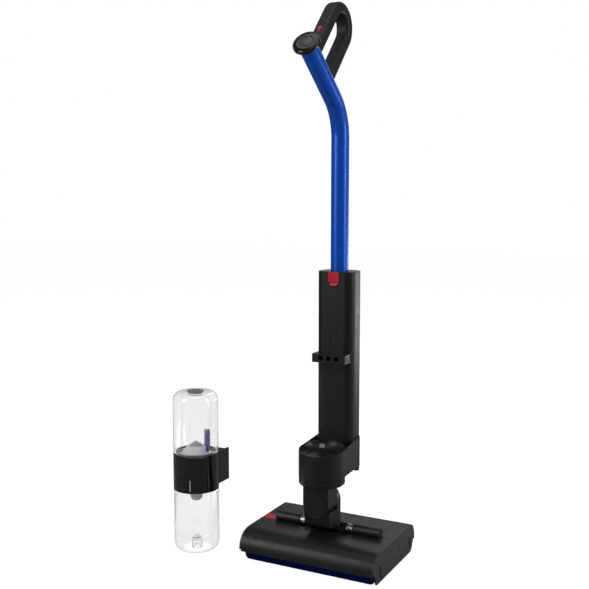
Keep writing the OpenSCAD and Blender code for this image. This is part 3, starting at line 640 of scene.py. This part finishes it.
FUNNEL_EDGE = (42.6, 211.6)
FUNNEL_TOP = (14.9, 226.6)
LIP_R = 42.2
LIP_ROUND = 0.6
LIP_FOOT = 210
LIP_TOP = 215.4
PEAK_Z = 235.8
WALL_TURN = math.radians(38)
WALL_HALF = 0.7


def make_core_trim():
    """Above the band: a pale funnel inside a dark lip, its grey peak, and the thin wall that crosses it."""
    (edge_r, edge_z), (top_r, top_z) = FUNNEL_EDGE, FUNNEL_TOP
    tank_piece("core_funnel", "grey_plastic", "band",
               [(edge_r, edge_z - 1), (edge_r, edge_z), (34, edge_z + 0.9), (31, edge_z + 2.4),
                (top_r, top_z), (top_r - 1, top_z), (29.8, edge_z + 0.6), (edge_r, edge_z - 1)],
               finish="septum_grey")
    inner = LIP_R - LIP_ROUND
    tank_piece("core_lip", "grey_plastic", "band",
               [(inner, LIP_FOOT), (inner, LIP_TOP)] + arc(LIP_R, LIP_TOP, LIP_ROUND, 180, 0, 6)
               + [(LIP_R + LIP_ROUND, LIP_FOOT), (inner, LIP_FOOT)], finish="lip_grey")
    collar = top_r + 0.5
    tank_piece("core_peak", "grey_plastic", "band",
               [(0, top_z - 2), (collar, top_z - 2), (collar, top_z - 0.6), (top_r - 0.3, top_z + 0.5),
                (2.0, PEAK_Z - 0.5), (0.8, PEAK_Z), (0, PEAK_Z)], sharp=40)
    along = Vector((math.cos(WALL_TURN), math.sin(WALL_TURN), 0)) * edge_r
    across = Vector((-math.sin(WALL_TURN), math.cos(WALL_TURN), 0)) * WALL_HALF
    centre = Vector((TANK_X, TANK_Y, 0))
    slope = [(0.98, edge_z - 0.8), (0.98, edge_z + 1.6), (0.7, edge_z + 5)]
    rise = [(-u, z) for u, z in slope] + [(0, top_z + 4)] + slope[::-1]
    bm = bmesh.new()
    faces = [[bm.verts.new(centre + along * u + across * side + Vector((0, 0, z))) for u, z in rise]
             for side in (-1, 1)]
    bridge(bm, *faces)
    bm.faces.new(faces[0][::-1])
    bm.faces.new(faces[1])
    to_row(bm)
    make_piece(bm, "core_wall", "grey_plastic", "band", finish="lip_grey", edge=0.2)


LATCH_HALF = math.radians(17.0)
LATCH_INNER = 47.2
LATCH_STEPS = 20
PROUD = 1.0
GROOVE = 0.3
EDGE_DROP = 0.5


def make_latch():
    """The press latch: a curved plate that almost fills its window, with a shallow finger groove."""
    low, high = (corner.z for corner in size_mm("tank_latch"))
    steps_in = ((0, EDGE_DROP), (0.4, PROUD), (9, PROUD), (11, GROOVE))
    outside = [(TANK_R + proud, low + up) for up, proud in steps_in]
    outside += [(TANK_R + proud, high - up) for up, proud in steps_in[::-1]]
    section = [(LATCH_INNER, low)] + outside + [(LATCH_INNER, high)]
    bm = bmesh.new()
    rings = []
    for i in range(LATCH_STEPS + 1):
        a = -math.pi / 2 - LATCH_HALF + 2 * LATCH_HALF * i / LATCH_STEPS
        ring = [(TANK_X + r * math.cos(a), TANK_Y + r * math.sin(a), z) for r, z in section]
        rings.append([bm.verts.new(point) for point in ring])
    skin(bm, rings)
    bm.faces.new(rings[0][::-1])
    bm.faces.new(rings[-1])
    to_row(bm)
    make_piece(bm, "latch_plate", SLOT["tank_latch"], BODY["tank_latch"], ["tank_latch"], sharp=25)


FRAME_DEPTH = 11.0
FRAME_PROUD = 0.5
FRAME_WIDE = 1.3
FRAME_ROOT = 0.4


def make_port_frames():
    """A raised rectangular frame on each end of the port block, in a pale grey that paints the highlight
    along the edges of its recessed panel.
    """
    lo, hi = size_mm("port_block")
    y0, z0, z1 = lo.y + 2, lo.z + 2, hi.z - 2
    y1 = y0 + FRAME_DEPTH
    section = ((-FRAME_ROOT, 0), (FRAME_PROUD, 0), (FRAME_PROUD, FRAME_WIDE), (-FRAME_ROOT, FRAME_WIDE))
    for side, x in ((-1, lo.x), (1, hi.x)):
        bm = bmesh.new()
        rings = []
        for out, inset in section:
            corners = ((y0 + inset, z0 + inset), (y1 - inset, z0 + inset),
                       (y1 - inset, z1 - inset), (y0 + inset, z1 - inset))
            rings.append([bm.verts.new((x + side * out, y, z)) for y, z in corners])
        rings.append(rings[0])
        skin(bm, rings)
        to_row(bm)
        name = "port_frame_left" if side < 0 else "port_frame_right"
        # The frame's pale grey finish is a painted highlight along the panel's edges.
        make_piece(bm, name, SLOT["port_block"], BODY["port_block"], edge=0.2, finish="port_painted_highlight")


# ------------------------------------------------------------------ assembly

EDGE = {
    "front_cover": 0.5, "rear_cover": 0.5, "end_plate_left": 0.7, "end_plate_right": 0.9,
    "barrel_left": 1.4, "barrel_right": 1.4, "shaft_clips": 0.4, "lower_yoke": 1.2, "upper_neck": 1.3,
    "neck_disc": 0.4, "seat_ring": 0.9, "seat_body": 1.0, "docking_post": 0.5, "post_tip": 0.5,
    "tower_shell": 0.25, "tower_cap": 0.7, "rear_housing": 1.2, "port_block": 0.7, "port_seals": 0.2,
    "wand_catch": 0.8, "tray_release": 0.6, "debris_tray": 0.6, "tank_band": 0.5,
    "handle_loop": 0.5, "power_button": 0.9, "mode_button": 0.7, "tank_core": 0.5, "top_disc": 0.4,
}


def dress_cad_nodes():
    """A CAD node that stays takes its slot's material."""
    for node, obj in nodes.items():
        obj.data.materials.clear()
        obj.data.materials.append(MATERIALS[SLOT[node]])


dress_cad_nodes()
for node, edge in EDGE.items():
    refined(node, edge)
make_tube()
make_display()
make_sleeve("front_roller_sleeve", "front_roller")
make_sleeve("rear_roller_sleeve", "rear_roller")
make_dirty_tank()
make_clean_tank()
make_intake()
make_core_trim()
make_latch()
make_port_frames()
make_camera()
make_studio()
